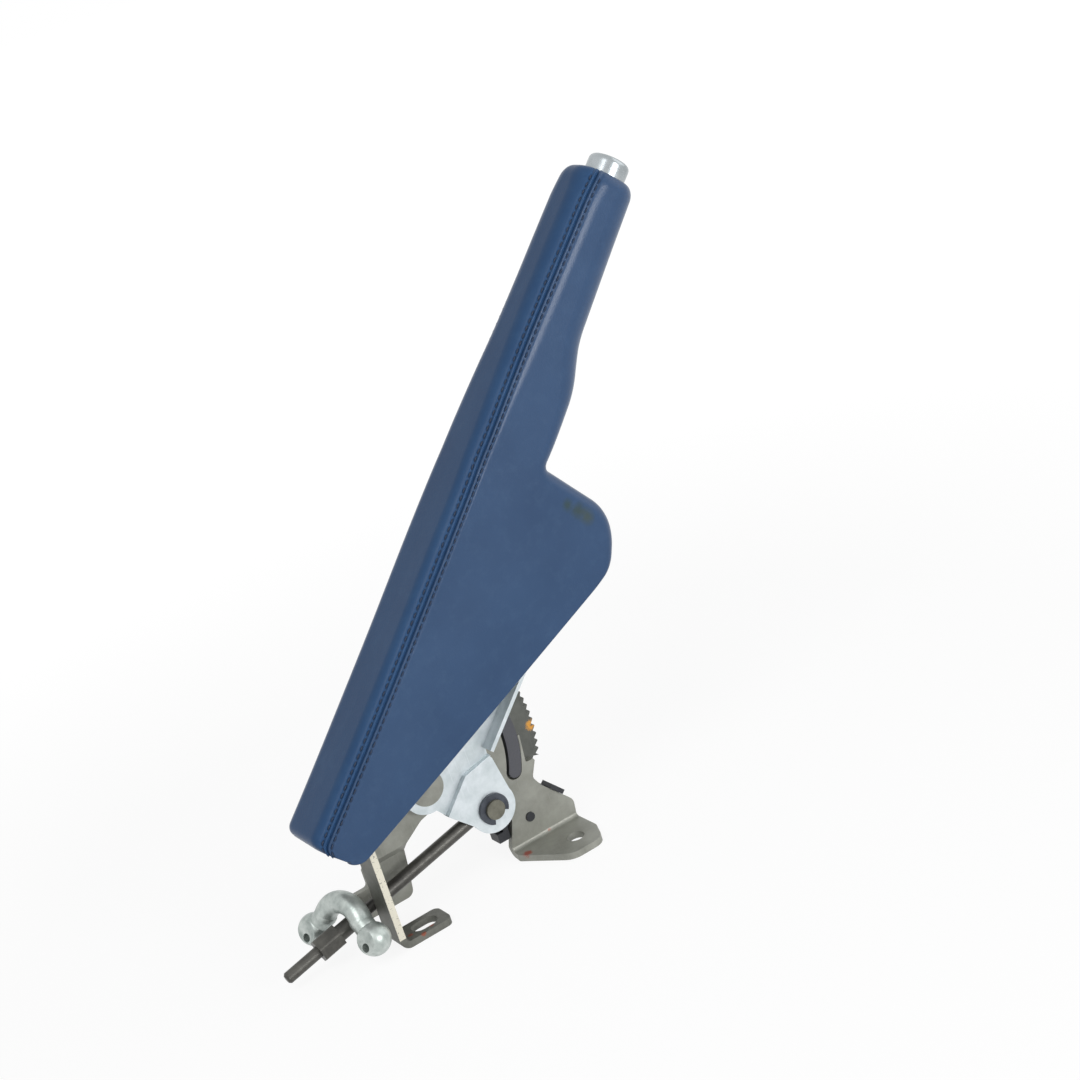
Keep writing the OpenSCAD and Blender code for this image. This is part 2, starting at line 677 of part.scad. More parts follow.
// Plastic guide for the button, stepped inside to keep the button's flange
module tip_collar() {
    color("#1f2226") in_lever() difference() {
        along(0, collar_od, collar_start, collar_end);
        along(0, button_d + 2 * button_fit, collar_start - 1, collar_end + 1);
        along(0, button_flange_d + 2 * button_fit, collar_start - 1, collar_step);
    }
}

module spring_seat() {
    color("#aeb6b6") in_lever() difference() {
        translate([seat_u, flange_y, grip_low + arm_t]) cube([seat_t, web_y - flange_y, arm_high - grip_low - 2 * arm_t]);
        along(push_rod_y, push_rod_d + 0.5, seat_u - 1, seat_u + seat_t + 1);
    }
}

// Helical return spring round the push rod
module button_spring() {
    sides = 6;
    steps = 14;
    rings = spring_turns * steps;
    spring_l = button_start - seat_u - seat_t - spring_wire - 2 * run_gap;
    points = [for (k = [0 : rings]) for (s = [0 : sides - 1])
        let (a = 360 * k / steps, b = 360 * s / sides, r = spring_d / 2 + spring_wire / 2 * cos(b))
        [spring_l * k / rings + spring_wire / 2 * sin(b), r * cos(a), r * sin(a)]];
    faces = [
        [for (s = [0 : sides - 1]) s],
        [for (s = [sides - 1 : -1 : 0]) rings * sides + s],
        for (k = [0 : rings - 1]) for (s = [0 : sides - 1])
            [k * sides + s, (k + 1) * sides + s, (k + 1) * sides + (s + 1) % sides, k * sides + (s + 1) % sides]
    ];
    color("#b9bec2") in_lever() translate([seat_u + seat_t + run_gap + spring_wire / 2, push_rod_y, push_axis])
        polyhedron(points, faces);
}

module push_button() {
    dome = 1.2;
    wall = 2;
    color("#d5d8da") in_lever() difference() {
        union() {
            along(0, button_d, button_start, button_end - dome);
            translate([button_end - dome, 0, push_axis]) rotate([0, 90, 0]) cylinder(d1 = button_d, d2 = button_d - 2 * dome, h = dome);
            along(0, button_flange_d, button_start, collar_step - 0.2);
        }
        along(push_rod_y, push_rod_d + 2 * run_gap, button_start - 1, button_end - 8);
        difference() {
            along(0, button_d - 2 * wall, button_start + 3, button_end - 5);
            along(push_rod_y, boss_d, button_start, button_end);
        }
    }
}

// Straight rod with its lower end bent across through the arm's window to the pawl
module push_rod() {
    color("#8f9698") in_lever() {
        along(push_rod_y, push_rod_d, finger_u, button_end - 8);
        cross_pin([finger_u, push_axis], push_rod_d, push_rod_y - push_rod_d / 2, sector_y + sector_t);
    }
}

// Bell-crank pawl: tooth towards the sector, upper arm against the push rod's finger
module pawl() {
    finger_face = finger_u - push_rod_d / 2 - clear;
    tip_r = sector_r + 0.4;
    tip_angle = -8;
    tip = tip_r * [cos(tip_angle), sin(tip_angle)];
    color("#6b6f70") in_lever() sheet(sector_y, sector_t) difference() {
        union() {
            translate(pawl_pin_at) circle(r = pawl_pin_d / 2 + 3.5);
            polygon(rounded([
                [tip.x, tip.y, 0.3], [tip.x + 4, tip.y - 4.2, 1], [pawl_pin_at.x + 6, pawl_pin_at.y - 3, 2],
                [pawl_pin_at.x - 2, pawl_pin_at.y + 6, 2]
            ]));
            polygon(rounded([
                [pawl_pin_at.x - 5, pawl_pin_at.y, 0], [finger_face, pawl_pin_at.y, 0],
                [finger_face, push_axis + 2, 1.5], [finger_face - 5, push_axis + 2, 1.5]
            ]));
        }
        translate(pawl_pin_at) circle(d = pawl_pin_d + 2 * run_gap);
    }
}

module pull_rod() {
    tip_l = 1;
    color("#4a4a47") {
        on_rod() difference() {
            union() {
                rotate([90, 0, 0]) cylinder(d = eye_d, h = eye_w, center = true);
                cylinder(d = rod_d, h = thread_start);
                cylinder(d = thread_d, h = rod_l - tip_l);
                translate([0, 0, rod_l - tip_l]) cylinder(d1 = thread_d, d2 = thread_d - 2 * tip_l, h = tip_l);
            }
            rotate([90, 0, 0]) cylinder(d = rod_pin_d + 2 * run_gap, h = eye_w + 2, center = true);
        }
    }
}

// Long adjuster nut with a round neck that the equaliser sits over
module adjuster_nut() {
    color("#4f4f4b") on_rod() difference() {
        union() {
            translate([0, 0, neck_start]) cylinder(r = neck_r, h = nut_hex_start - neck_start + eps);
            translate([0, 0, nut_hex_start]) intersection() {
                cylinder(d = nut_af / cos(30), h = nut_hex_l, $fn = 6);
                cylinder(d = nut_af / cos(30) - 0.5, h = nut_hex_l);
            }
        }
        translate([0, 0, neck_start - 1]) cylinder(d = thread_d + 2 * run_gap, h = nut_end - neck_start + 2);
    }
}

// Over the nut's neck, yawed and leaned as the saddle rests there
module on_saddle() {
    on_rod() translate([0, 0, saddle_at]) rotate([0, 90 + rod_slope, 0]) translate([0, 0, saddle_rise])
        rotate([0, 0, saddle_yaw]) rotate([0, saddle_lean, 0]) children();
}

module flat_balls() {
    for (side = [-1, 1]) translate([0, side * ball_at.x, ball_at.y]) rotate([0, 90, 0]) rotate_extrude()
        intersection() {
            circle(r = ball_r);
            translate([0, -ball_flat]) square([ball_r, 2 * ball_flat]);
        }
}

// Forged bar arched over the nut's neck, with a straight leg down to each ball
module equaliser() {
    color("#b4bdb9") on_saddle() difference() {
        union() {
            rotate([90, 0, 90]) rotate(90 - saddle_half) rotate_extrude(angle = 2 * saddle_half)
                translate([saddle_bend_r, 0]) circle(r = saddle_r);
            for (side = [-1, 1]) translate([0, side * elbow_at.x, elbow_at.y]) {
                sphere(r = elbow_r);
                rotate([side * leg_angle, 0, 0]) translate([0, 0, -leg_l]) cylinder(r = leg_r, h = leg_l);
            }
        }
        flat_balls();
    }
}

// Flattened balls fixed to the ends of the bar, each drilled for a cable
module cable_ends() {
    color("#b4bdb9") on_saddle() difference() {
        flat_balls();
        for (side = [-1, 1]) translate([-ball_r, side * ball_at.x, ball_at.y - cable_drop])
            rotate([0, 90, 0]) cylinder(d = cable_d, h = 2 * ball_r);
    }
}

base_bracket();
rear_strap();
ratchet_sector();
guide_strip();
sector_rivets();
main_pivot();
switch_body();
switch_terminals();
switch_plunger();
lever_arm();
pawl_pin();
rod_pin();
rod_pin_clip();
skirt_liner();
grip_core();
grip_spacers();
leather_top();
leather_side_near();
leather_side_far();
leather_underside();
tip_collar();
spring_seat();
button_spring();
push_button();
push_rod();
pawl();
pull_rod();
adjuster_nut();
equaliser();
cable_ends();
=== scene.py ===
import math

import bpy
import numpy as np
from mathutils import Matrix, Vector


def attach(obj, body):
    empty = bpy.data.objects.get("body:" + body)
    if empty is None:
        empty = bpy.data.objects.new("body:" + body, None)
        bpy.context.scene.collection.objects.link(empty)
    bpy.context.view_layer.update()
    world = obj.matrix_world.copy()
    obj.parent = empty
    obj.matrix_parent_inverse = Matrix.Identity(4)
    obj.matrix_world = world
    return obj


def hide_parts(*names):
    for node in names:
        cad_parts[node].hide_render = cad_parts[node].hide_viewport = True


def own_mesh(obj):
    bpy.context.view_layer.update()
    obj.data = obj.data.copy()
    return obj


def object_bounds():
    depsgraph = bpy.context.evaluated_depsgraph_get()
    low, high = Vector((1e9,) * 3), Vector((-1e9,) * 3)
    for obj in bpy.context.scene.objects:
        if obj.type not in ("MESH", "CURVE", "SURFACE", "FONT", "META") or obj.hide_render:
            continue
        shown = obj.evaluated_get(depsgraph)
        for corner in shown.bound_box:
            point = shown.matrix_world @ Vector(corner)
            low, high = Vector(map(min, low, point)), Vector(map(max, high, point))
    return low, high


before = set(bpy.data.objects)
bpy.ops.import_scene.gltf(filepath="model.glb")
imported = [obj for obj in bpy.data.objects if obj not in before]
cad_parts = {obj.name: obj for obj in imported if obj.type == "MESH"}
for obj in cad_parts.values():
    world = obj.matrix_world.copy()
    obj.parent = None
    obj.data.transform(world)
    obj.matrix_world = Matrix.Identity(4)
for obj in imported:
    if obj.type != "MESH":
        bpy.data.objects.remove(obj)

CAD_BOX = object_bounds()
MM = 0.001

# Lever coordinates: u along the lever, y across it, n square to both, in millimetres from the pivot
PIVOT = (-62.5, 9.5, 61.5)
LEVER_ANGLE = math.radians(44.5)

# Handle, in lever coordinates (millimetres); a pair called _SPAN is where along u a change starts and ends
HANDLE_REAR, HANDLE_FRONT, HANDLE_TOP = -44.0, 303.0, 55.8
HEM_END = 136.0
GRIP_RISE, RISE_SPAN = 2.7, (0, 200)
SKIRT_HALF, GRIP_HALF, HALF_SPAN = 19.5, 17.3, (120, 250)
# Upper corner radii, with what the tip adds
SKIRT_CORNER, GRIP_CORNER, CORNER_SPAN = 9.0, 13.0, (120, 260)
TIP_CORNER, TIP_CORNER_SPAN = 2.5, (285, HANDLE_FRONT)
# Lower edge radii: at the hem, with what the lobe adds and what the grip adds
HEM_EDGE = 1.0
LOBE_EDGE, LOBE_EDGE_SPAN = 6.5, (118, 152)
GRIP_EDGE, GRIP_EDGE_SPAN = 8.0, (166, 225)
# Seam's angle from the top of the upper corner, in half turns, and how far it moves up towards the grip
SEAM_AT, SEAM_MOVE, SEAM_SPAN = 0.355, 0.05, (120, 230)
TIP_ROUND, TIP_SHRINK = 7.0, 4.5
REAR_ROUND, REAR_DROP = 5.5, 5.0
# Crown of the skirt's side, and where it fades out
SIDE_CROWN, CROWN_SPAN = 0.6, (140, 110)
LEATHER_T, STRAP_T = 1.0, 0.9
HEM_WRAP = 2.2
LINER_INSET, LINER_T, CORE_T = 1.15, 1.3, 1.5
STRAP_HALF = 5.2
# Line of the underside: corners with their radii, from the rear edge to the tip
UNDERSIDE = [
    (HANDLE_REAR, 40.0, 0), (HANDLE_REAR, 29.5, 9), (56, -9.5, 160), (133, -38.5, 20), (157.5, -31, 24),
    (162.5, 16.5, 3), (203, 14.5, 50), (226, 21, 50), (HANDLE_FRONT, 24.6, 0),
]
# Rolled edges, outermost row last: inset from the surface and shift along the lever
REAR_ROLL = [(2.4, 0.9), (1.9, -0.1), (1.1, -0.35), (0.35, -0.25)]
TIP_ROLL = [(0.7, 0.15), (1.6, 0.0), (2.2, -0.9)]
# Columns of a side panel's grid: over the corner, down the side, round the lower edge and under
CORNER_COLUMNS, DOWN_COLUMNS, EDGE_COLUMNS, UNDER_COLUMNS = 26, 27, 10, 8
# Columns of half the top panel's grid: over its flat and over its corner
FLAT_COLUMNS, TOP_CORNER_COLUMNS = 7, 36

# Twin-needle seam
STITCH_PITCH, STITCH_L, STITCH_R = 3.9, 2.9, 0.4
STITCH_ROW = 2.35
STITCH_FROM, STITCH_TO = -42.0, 298.0

# Return spring of the button: start and end of the wire's centre, place across, turns, radii of coil and wire,
# and the share of its length that is left when the button is pressed
SPRING_START, SPRING_END, SPRING_Y, SPRING_TURNS = 260.65, 285.15, -2.5, 6
SPRING_R, WIRE_R, SPRING_KEEP = 4.5, 0.6, 0.76

# Push button: axis height in lever coordinates, start, shoulder, end, radii of barrel, flange and rounded end,
# and the height of its dome
BUTTON_AXIS = 39.5
BUTTON_START, BUTTON_SHOULDER, BUTTON_END = 285.8, 288.8, 312.5
BUTTON_R, BUTTON_FLANGE_R, BUTTON_CROWN = 10.25, 11.55, 2.8
BUTTON_DOME, BUTTON_BREAK = 0.35, 0.3


def to_frame(u, y, n):
    """Lever coordinates in millimetres to the row frame in metres, as an array with a last axis of three."""
    x = PIVOT[0] + u * math.cos(LEVER_ANGLE) - n * math.sin(LEVER_ANGLE)
    z = PIVOT[2] + u * math.sin(LEVER_ANGLE) + n * math.cos(LEVER_ANGLE)
    return np.stack(np.broadcast_arrays(x, PIVOT[1] + y, z), axis=-1) * MM


def points_to_frame(points):
    """The same for an array whose last axis holds u, y and n."""
    return to_frame(*np.moveaxis(points, -1, 0))


def smooth_step(x, a, b):
    """Cubic ease from 0 at a to 1 at b, on either side of it."""
    t = np.clip((x - a) / (b - a), 0, 1)
    return t * t * (3 - 2 * t)


def quarter_fall(t):
    """Quarter of an ellipse: falls from 0 at t = 0 to nearly 1 at t = 1, where it is steep."""
    return 1 - np.sqrt(1 - 0.98 * np.clip(t, 0, 1) ** 2)


def run_along(path):
    """Distance of each point of a path from its start."""
    return np.concatenate([[0], np.cumsum(np.linalg.norm(np.diff(path, axis=0), axis=1))])


def rounded_path(corners, steps=24):
    """Open path through the corners, each one replaced by the arc of its radius that touches both of its sides."""
    path = []
    for before, (cu, cn, radius), after in zip(corners, corners[1:], corners[2:]):
        here = np.array([cu, cn])
        to_a, to_b = (np.array(p[:2]) - here for p in (before, after))
        to_a, to_b = to_a / np.linalg.norm(to_a), to_b / np.linalg.norm(to_b)
        half = math.acos(to_a @ to_b) / 2
        centre = here + (to_a + to_b) / np.linalg.norm(to_a + to_b) * radius / math.sin(half)
        first, last = (here + d * radius / math.tan(half) - centre for d in (to_a, to_b))
        start = math.atan2(first[1], first[0])
        sweep = (math.atan2(last[1], last[0]) - start + math.pi) % (2 * math.pi) - math.pi
        angle = start + sweep * np.linspace(0, 1, steps)
        path.extend(zip(centre[0] + radius * np.cos(angle), centre[1] + radius * np.sin(angle)))
    path.append(corners[-1][:2])
    return np.array(path)


class HandleRows:
    """Stations of the handle at equal steps along the line of its underside, with closer steps where the tip
    rounds off: for each one the point on that line, the normal from it into the handle, the half width, the
    height of the top, the upper and lower corner radii, the distance u of its upright above the start of the
    lower fillet, and the seam's angle from the top of the upper corner."""

    def __init__(self, inset=0.0, rear_roll=(), tip_roll=(), step=1.2):
        corners = rounded_path(UNDERSIDE)
        run = run_along(corners)
        tip = run[-1] - TIP_ROUND
        tip_rows = tip + TIP_ROUND * np.sin(np.linspace(0, np.pi / 2, 14))[1:]
        at = np.concatenate([np.linspace(0, tip, int(tip / step)), tip_rows])
        last = len(at) - 1
        pick = np.array([*[0] * len(rear_roll), *range(len(at)), *[last] * len(tip_roll)])
        roll = np.array([*rear_roll, *[(0, 0)] * len(at), *tip_roll], float)
        line = np.stack([np.interp(at, run, corners[:, k]) for k in (0, 1)], axis=1)
        along = np.gradient(line, at, axis=0)
        along /= np.linalg.norm(along, axis=1, keepdims=True)
        normal = np.stack([-along[:, 1], along[:, 0]], axis=1)[pick]
        u = line[pick, 0]
        shrink = inset + roll[:, 0] + TIP_SHRINK * quarter_fall((u - HANDLE_FRONT + TIP_ROUND) / TIP_ROUND)
        rear_fall = REAR_DROP * quarter_fall((HANDLE_REAR + REAR_ROUND - u) / REAR_ROUND)
        corner = (SKIRT_CORNER + (GRIP_CORNER - SKIRT_CORNER) * smooth_step(u, *CORNER_SPAN)
                  + TIP_CORNER * smooth_step(u, *TIP_CORNER_SPAN))
        edge = (HEM_EDGE + LOBE_EDGE * smooth_step(u, *LOBE_EDGE_SPAN)
                + GRIP_EDGE * smooth_step(u, *GRIP_EDGE_SPAN))
        self.normal = normal
        self.line = line[pick] + normal * shrink[:, None] + roll[:, 1:] * [1, 0]
        self.top = HANDLE_TOP + GRIP_RISE * smooth_step(u, *RISE_SPAN) - rear_fall - shrink
        self.half = SKIRT_HALF + (GRIP_HALF - SKIRT_HALF) * smooth_step(u, *HALF_SPAN) - shrink
        self.upper = np.maximum(corner - shrink, 1)
        self.lower = np.maximum(edge - shrink, 0.5)
        self.u = self.line[:, 0] + normal[:, 0] * self.lower
        self.seam = np.pi * (SEAM_AT - SEAM_MOVE * smooth_step(u, *SEAM_SPAN))
        self.open = u < HEM_END

    def column(self, name):
        return getattr(self, name)[:, None]

    def upper_corner(self, angle):
        """Points on the upper corner's arc at angles from the top, and their outward normals."""
        u, zero = np.broadcast_arrays(self.column("u"), angle)[0], np.zeros_like(angle)
        y = self.column("half") - self.column("upper") * (1 - np.sin(angle))
        n = self.column("top") - self.column("upper") * (1 - np.cos(angle))
        return np.stack([u, y, n], axis=-1), np.stack([zero, np.sin(angle), np.cos(angle)], axis=-1)

    def side(self, share):
        """Points straight down an upright of the side, from the upper corner (0) to the start of the lower fillet
        (1), and their outward normals."""
        foot = self.line + self.normal * self.lower[:, None]
        head = np.stack([self.u, self.top - self.upper], axis=-1)
        at = head[:, None] * (1 - share)[None, :, None] + foot[:, None] * share[None, :, None]
        y = np.broadcast_to(self.column("half"), at.shape[:2])
        points = np.stack([at[..., 0], y, at[..., 1]], axis=-1)
        return points, np.broadcast_to([0.0, 1.0, 0.0], points.shape)

    def fillet(self, turn):
        """Lower edge, as a ball of the lower radius rolls along it: from the side (turn 0) to the underside (1)."""
        t = (np.pi / 2 * (1 - turn))[None, :, None]
        at = self.line[:, None] + self.normal[:, None] * self.lower[:, None, None] * (1 - np.cos(t))
        y = self.half[:, None] - self.lower[:, None] * (1 - np.sin(t[..., 0]))
        out = -self.normal[:, None] * np.cos(t)
        return (np.stack([at[..., 0], y, at[..., 1]], axis=-1),
                np.stack([out[..., 0], np.broadcast_to(np.sin(t[..., 0]), y.shape), out[..., 1]], axis=-1))

    def under(self, share, end):
        """Straight across the underside, from the fillet (0) to the half width called end (1)."""
        y = (self.half - self.lower)[:, None] * (1 - share) + end[:, None] * share
        u, n = (np.broadcast_to(self.line[:, None, k], y.shape) for k in (0, 1))
        out = [np.broadcast_to(-self.normal[:, None, k], y.shape) for k in (0, 1)]
        return np.stack([u, y, n], axis=-1), np.stack([out[0], np.zeros_like(y), out[1]], axis=-1)


def grid_faces(rows, columns):
    """Quads of a rows by columns grid of points."""
    a = (np.arange(rows - 1)[:, None] * columns + np.arange(columns - 1)).ravel()
    return np.stack([a, a + columns, a + columns + 1, a + 1], axis=1)


def tube_faces(rings, sides):
    """Quads of a tube of closed rings, each with as many points as it has sides."""
    r, s = np.meshgrid(np.arange(rings - 1) * sides, np.arange(sides), indexing="ij")
    t = (s + 1) % sides
    return np.stack([r + s, r + sides + s, r + sides + t, r + t], axis=-1).reshape(-1, 4)


def add_piece(name, vertices, faces, material, body, nodes=(), thickness=0.0):
    """Smooth mesh piece at the origin from arrays of vertices (metres) and lists of faces, on its body, for the
    nodes it replaces; a thickness (millimetres) makes a sheet of it, measured inwards."""
    mesh = bpy.data.meshes.new(name)
    mesh.from_pydata(np.asarray(vertices).reshape(-1, 3).tolist(), [], [list(map(int, f)) for f in faces])
    mesh.polygons.foreach_set("use_smooth", np.ones(len(mesh.polygons), bool))
    mesh.materials.append(material)
    mesh.update()
    piece = bpy.data.objects.new(name, mesh)
    bpy.context.collection.objects.link(piece)
    if thickness:
        wall = piece.modifiers.new("thickness", "SOLIDIFY")
        wall.thickness, wall.offset = thickness * MM, -1
    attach(piece, body)
    for node in nodes:
        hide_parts(node)
    return piece


def srgb(text):
    """sRGB hex colour to linear RGBA."""
    c = np.array([int(text[i:i + 2], 16) for i in (1, 3, 5)]) / 255
    return (*np.where(c <= 0.04045, c / 12.92, ((c + 0.055) / 1.055) ** 2.4), 1.0)


def add_node(tree, kind, links, **settings):
    """Adds a node with its settings; each entry of links is a socket to link from or a value to set."""
    node = tree.nodes.new(kind)
    for key, value in settings.items():
        setattr(node, key, value)
    for socket, value in links.items():
        if isinstance(value, bpy.types.NodeSocket):
            tree.links.new(value, node.inputs[socket])
        else:
            node.inputs[socket].default_value = value
    return node


def new_material(name):
    """Empty node material: returns it with its tree and the texture coordinate sockets."""
    material = bpy.data.materials.new(name)
    material.use_nodes = True
    tree = material.node_tree
    tree.nodes.clear()
    return material, tree, tree.nodes.new("ShaderNodeTexCoord").outputs


def close_material(tree, shader):
    tree.links.new(shader.outputs[0], tree.nodes.new("ShaderNodeOutputMaterial").inputs[0])


def per_mm(size):
    """Noise scale, in cells per metre, at which one cell is the given size in millimetres."""
    return 1000.0 / size


def spotted(tree, place, rag, colour, spots, reach, most):
    """Colour with ragged spots mixed in, each with a centre and a radius in millimetres and its own colour: reach is
    where a spot ends and where it is full, in radii, and most the largest share of it."""
    for centre, radius, paint in spots:
        size = radius * MM
        away = add_node(tree, "ShaderNodeVectorMath", {0: place, 1: [c * MM for c in centre]}, operation="DISTANCE")
        ragged = add_node(tree, "ShaderNodeMath", {
            0: rag, 1: 1.2 * size, 2: away.outputs["Value"]}, operation="MULTIPLY_ADD")
        share = add_node(tree, "ShaderNodeMapRange", {
            "Value": ragged.outputs[0], "From Min": reach[0] * size, "From Max": reach[1] * size, "To Max": most})
        colour = add_node(tree, "ShaderNodeMix", {
            "Factor": share.outputs["Result"], 6: colour, 7: srgb(paint)}, data_type="RGBA").outputs[2]
    return colour


def dyed_leather(name, deep, mid, worn, scuffs, gloss):
    """Dyed and rolled grain leather with a satin top coat: fine pebbles about 0.7 mm across (drawn a little coarser
    than real ones, so that they show), faint uneven dye over centimetres, rubbed paler spots. Scuffs are stains:
    centre and radius in millimetres, colour."""
    material, tree, at = new_material(name)
    cloud = add_node(tree, "ShaderNodeTexNoise", {
        "Vector": at["Object"], "Scale": per_mm(40), "Detail": 3.0, "Roughness": 0.5})
    rub = add_node(tree, "ShaderNodeTexNoise", {
        "Vector": at["Object"], "Scale": per_mm(6), "Detail": 4.0, "Roughness": 0.65})
    pebble = add_node(tree, "ShaderNodeTexVoronoi", {
        "Vector": at["Object"], "Scale": per_mm(0.9), "Smoothness": 0.6}, feature="SMOOTH_F1")
    tone = add_node(tree, "ShaderNodeMapRange", {"Value": cloud.outputs["Fac"], "From Min": 0.3, "From Max": 0.7})
    dye = add_node(tree, "ShaderNodeMix", {
        "Factor": tone.outputs["Result"], 6: srgb(deep), 7: srgb(mid)}, data_type="RGBA")
    worn_share = add_node(tree, "ShaderNodeMapRange", {
        "Value": rub.outputs["Fac"], "From Min": 0.5, "From Max": 0.85, "To Max": 0.35})
    colour = add_node(tree, "ShaderNodeMix", {
        "Factor": worn_share.outputs["Result"], 6: dye.outputs[2], 7: srgb(worn)}, data_type="RGBA").outputs[2]
    colour = spotted(tree, at["Object"], rub.outputs["Fac"], colour, scuffs, (1.9, 0.9), 0.75)
    height = add_node(tree, "ShaderNodeMath", {
        0: pebble.outputs["Distance"], 1: rub.outputs["Fac"]}, operation="SUBTRACT")
    bump = add_node(tree, "ShaderNodeBump", {"Height": height.outputs[0], "Strength": 0.12, "Distance": 0.0003})
    rough = add_node(tree, "ShaderNodeMapRange", {"Value": rub.outputs["Fac"], "To Min": 0.26, "To Max": 0.34})
    close_material(tree, add_node(tree, "ShaderNodeBsdfPrincipled", {
        "Base Color": colour, "Roughness": rough.outputs["Result"], "Normal": bump.outputs["Normal"],
        "Specular IOR Level": gloss}))
    return material


def worked_steel(name, light, dark, metallic, roughness, cloud_mm, grain_mm, relief, dabs=(), near_edge_highlight=None):
    """Plated, oiled or bare steel: cloudy tone, grain of the given size, handling scratches, relief from the grain.
    Dabs are worn or painted spots: centre and radius in millimetres, colour. A near-edge highlight is a painted
    highlight: a pale colour on faces that look to the near side, pitted, above a height in millimetres."""
    material, tree, at = new_material(name)
    cloud = add_node(tree, "ShaderNodeTexNoise", {
        "Vector": at["Object"], "Scale": per_mm(cloud_mm), "Detail": 5.0, "Roughness": 0.6})
    grain = add_node(tree, "ShaderNodeTexNoise", {"Vector": at["Object"], "Scale": per_mm(grain_mm), "Detail": 3.0})
    streak = add_node(tree, "ShaderNodeMapping", {
        "Vector": at["Object"], "Rotation": (0.4, 0.9, 0.3), "Scale": (1.0, 1.0, 0.06)})
    scratch = add_node(tree, "ShaderNodeTexNoise", {
        "Vector": streak.outputs[0], "Scale": per_mm(0.8), "Detail": 2.0})
    tone = add_node(tree, "ShaderNodeMapRange", {"Value": cloud.outputs["Fac"], "From Min": 0.32, "From Max": 0.68})
    colour = add_node(tree, "ShaderNodeMix", {
        "Factor": tone.outputs["Result"], 6: srgb(dark), 7: srgb(light)}, data_type="RGBA").outputs[2]
    scuff = add_node(tree, "ShaderNodeMapRange", {
        "Value": scratch.outputs["Fac"], "From Min": 0.62, "From Max": 0.74, "To Max": 0.5})
    colour = add_node(tree, "ShaderNodeMix", {
        "Factor": scuff.outputs["Result"], 6: colour, 7: srgb(light)}, data_type="RGBA").outputs[2]
    # Painted highlight: pale colour on faces turned to the near side, above a height, broken by pits
    if near_edge_highlight:
        highlight_colour, above = near_edge_highlight
        facing = add_node(tree, "ShaderNodeSeparateXYZ", {0: at["Normal"]})
        place = add_node(tree, "ShaderNodeSeparateXYZ", {0: at["Object"]})
        near = add_node(tree, "ShaderNodeMath", {0: facing.outputs["Y"], 1: -0.8}, operation="LESS_THAN")
        high = add_node(tree, "ShaderNodeMath", {0: place.outputs["Z"], 1: above * MM}, operation="GREATER_THAN")
        pit = add_node(tree, "ShaderNodeMapRange", {"Value": grain.outputs["Fac"], "From Min": 0.3, "From Max": 0.38})
        both = add_node(tree, "ShaderNodeMath", {0: near.outputs[0], 1: high.outputs[0]}, operation="MULTIPLY")
        share = add_node(tree, "ShaderNodeMath", {0: both.outputs[0], 1: pit.outputs["Result"]}, operation="MULTIPLY")
        colour = add_node(tree, "ShaderNodeMix", {
            "Factor": share.outputs[0], 6: colour, 7: srgb(highlight_colour)}, data_type="RGBA").outputs[2]
    colour = spotted(tree, at["Object"], grain.outputs["Fac"], colour, dabs, (1.7, 1.2), 0.9)
    rough = add_node(tree, "ShaderNodeMapRange", {
        "Value": grain.outputs["Fac"], "To Min": roughness - 0.1, "To Max": roughness + 0.12})
    bump = add_node(tree, "ShaderNodeBump", {
        "Height": grain.outputs["Fac"], "Strength": relief, "Distance": 0.0002})
    close_material(tree, add_node(tree, "ShaderNodeBsdfPrincipled", {
        "Base Color": colour, "Metallic": metallic, "Roughness": rough.outputs["Result"],
        "Normal": bump.outputs["Normal"]}))
    return material


def moulded_plastic(name, colour_a, colour_b, roughness, grain_mm=0.6):
    """Injection moulded plastic with a spark-eroded grain, or spun thread with a fibre that fine."""
    material, tree, at = new_material(name)
    grain = add_node(tree, "ShaderNodeTexNoise", {"Vector": at["Object"], "Scale": per_mm(grain_mm), "Detail": 2.0})
    tone = add_node(tree, "ShaderNodeMix", {
        "Factor": grain.outputs["Fac"], 6: srgb(colour_a), 7: srgb(colour_b)}, data_type="RGBA")
    bump = add_node(tree, "ShaderNodeBump", {"Height": grain.outputs["Fac"], "Strength": 0.15, "Distance": 0.0001})
    close_material(tree, add_node(tree, "ShaderNodeBsdfPrincipled", {
        "Base Color": tone.outputs[2], "Roughness": roughness, "Normal": bump.outputs["Normal"]}))
    return material


# Stains on the lobe: centre and radius (millimetres), colour
SCUFFS = [
    ((45.5, -10.0, 167.0), 3.0, "#30433f"), ((49.5, -10.0, 162.5), 3.8, "#33433c"),
    ((53.5, -10.0, 157.5), 4.0, "#3d4a41"),
]
# Blue leather, satin: soft highlights along the corners, grain seen only up close
leather = dyed_leather("dyed_grain_leather", "#2b4567", "#324d70", "#405b7b", SCUFFS, 0.28)
# The same hide on the top panel, with lighter, bluer colours that are painted light, standing for the tone that light
# falling on the top gives it; more matt
top_panel_leather_painted_tone = dyed_leather("dyed_grain_leather_top_painted_tone", "#2c4a70", "#335278", "#416082", [], 0.13)
# Bonded polyester sewing thread, dyed to the leather and a little darker: no gloss
thread = moulded_plastic("bonded_polyester_thread", "#14233c", "#22344f", 0.6, 0.4)
# Bright zinc on pressed steel: pale, slightly blue, dull in places where hands and tools rubbed it
zinc = worked_steel("bright_zinc_plated_steel", "#dfe6ea", "#c3cdd0", 0.55, 0.36, 9, 0.8, 0.05, dabs=[
    ((-29.0, -1.0, 66.0), 2.2, "#8f989b"), ((-31.0, -1.0, 58.0), 1.6, "#9aa3a5")])
# Olive chromate over pressed steel, uneven and grey-brown; rust and inspection paint where the photograph shows them
olive = worked_steel("olive_chromated_steel", "#9c9d95", "#82837b", 0.35, 0.46, 14, 0.9, 0.07, dabs=[
    ((-23.3, 9.6, 3.5), 2.6, "#9c4434"), ((-4.5, 19.6, 3.5), 2.2, "#a04a36")])
